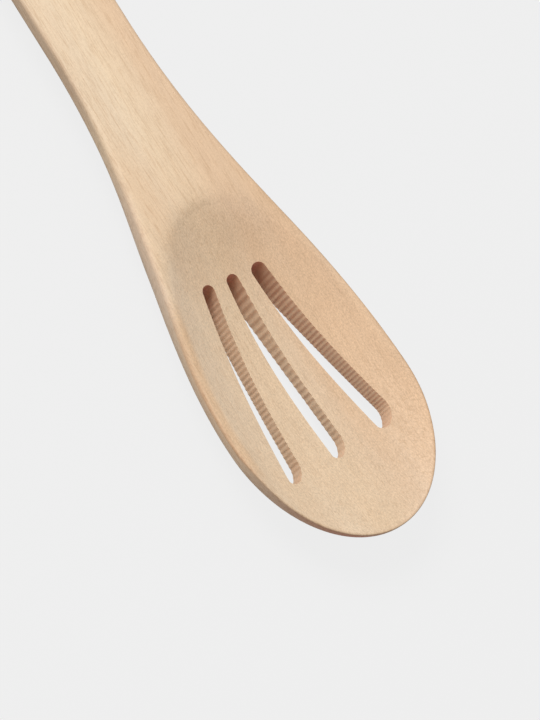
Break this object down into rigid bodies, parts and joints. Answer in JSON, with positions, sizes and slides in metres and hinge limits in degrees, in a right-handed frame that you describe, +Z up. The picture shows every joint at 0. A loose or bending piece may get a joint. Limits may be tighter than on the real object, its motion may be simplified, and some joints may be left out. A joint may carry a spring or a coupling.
{
  "type": "slotted spoon",
  "caption": "One-piece carved wooden cooking spoon with a flat handle and an oval bowl whose floor is cut by straight draining slots that fan out to the tip.",
  "frame": {"origin": "under the middle of the spoon's length and width, level with the flat below the bowl", "axes": "+X along the spoon from the handle's end to the tip, +Y across, +Z up out of the bowl"},
  "size_m": [0.3, 0.0616, 0.017],
  "materials": {
    "beech": "sanded bare wood, fine straight grain along the spoon"
  },
  "bodies": {
    "root": {"spoon_body": "beech"}
  },
  "joints": []
}
